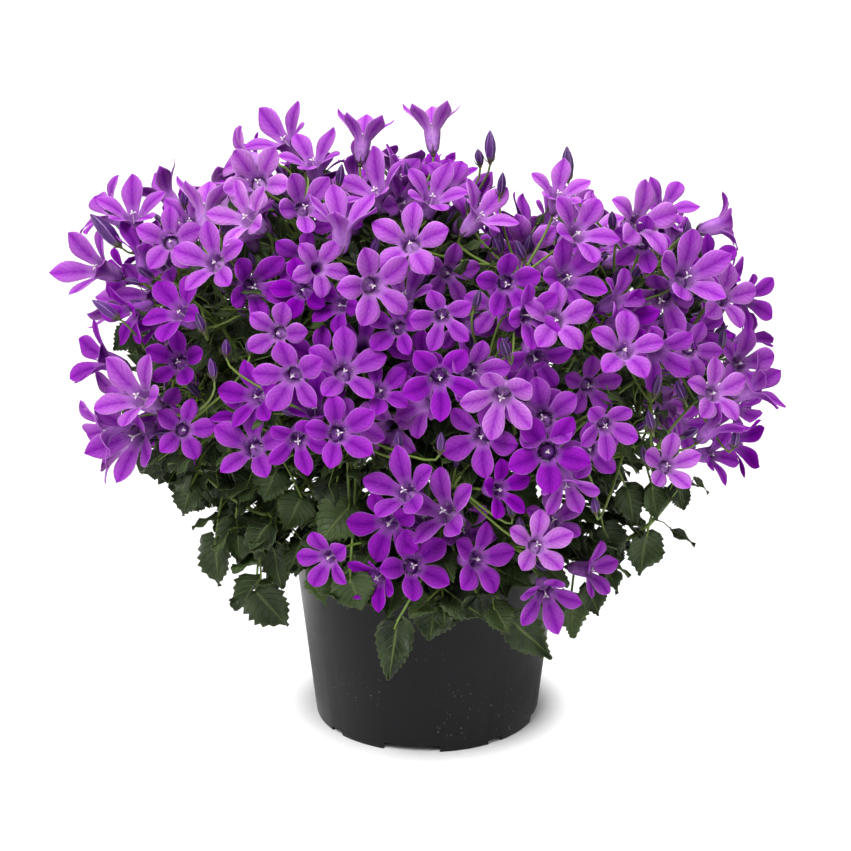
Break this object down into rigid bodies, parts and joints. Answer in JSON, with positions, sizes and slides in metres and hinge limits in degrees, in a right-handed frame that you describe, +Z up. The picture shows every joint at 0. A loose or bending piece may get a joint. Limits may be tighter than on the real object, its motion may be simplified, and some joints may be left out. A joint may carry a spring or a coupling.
{
  "type": "potted campanula",
  "caption": "Bellflower plant with a dome of violet star-shaped bells over toothed green leaves, standing in a plain black nursery pot",
  "frame": {"origin": "middle of the pot's flat underside, on the surface that it stands on", "axes": "+Z up, -Y towards the side that the picture shows, +X to its right"},
  "size_m": [0.33, 0.2413, 0.3028],
  "materials": {
    "pot_plastic": "moulded black nursery plastic, satin, with a little dust near the base",
    "potting_soil": "dark crumbly peat-like potting soil with roots",
    "leaf_green": "living leaf and stem tissue, matt dark green with lighter veins and rims",
    "petal_violet": "thin living petal tissue, violet, paler in the throat"
  },
  "bodies": {
    "root": {"pot": "pot_plastic", "root_ball": "potting_soil", "leafy_stem_01": "leaf_green", "leafy_stem_02": "leaf_green", "leafy_stem_03": "leaf_green", "leafy_stem_04": "leaf_green", "leafy_stem_05": "leaf_green", "leafy_stem_06": "leaf_green", "leafy_stem_07": "leaf_green", "leafy_stem_08": "leaf_green", "leafy_stem_09": "leaf_green", "leafy_stem_10": "leaf_green", "leafy_stem_11": "leaf_green", "leafy_stem_12": "leaf_green", "flower_head_01": "petal_violet", "flower_head_02": "petal_violet", "flower_head_03": "petal_violet", "flower_head_04": "petal_violet", "flower_head_05": "petal_violet", "flower_head_06": "petal_violet", "flower_head_07": "petal_violet", "flower_head_08": "petal_violet", "flower_head_09": "petal_violet", "flower_head_10": "petal_violet", "flower_head_11": "petal_violet", "flower_head_12": "petal_violet", "flower_head_13": "petal_violet", "flower_head_14": "petal_violet", "flower_head_15": "petal_violet", "flower_head_16": "petal_violet", "flower_head_17": "petal_violet", "flower_head_18": "petal_violet", "flower_head_19": "petal_violet", "flower_head_20": "petal_violet", "flower_head_21": "petal_violet", "flower_head_22": "petal_violet", "flower_head_23": "petal_violet", "flower_head_24": "petal_violet", "flower_head_25": "petal_violet", "flower_head_26": "petal_violet", "flower_head_27": "petal_violet", "flower_head_28": "petal_violet", "flower_head_29": "petal_violet", "flower_head_30": "petal_violet", "flower_head_31": "petal_violet", "flower_head_32": "petal_violet", "flower_head_33": "petal_violet", "flower_head_34": "petal_violet", "flower_head_35": "petal_violet", "flower_head_36": "petal_violet"}
  },
  "joints": []
}
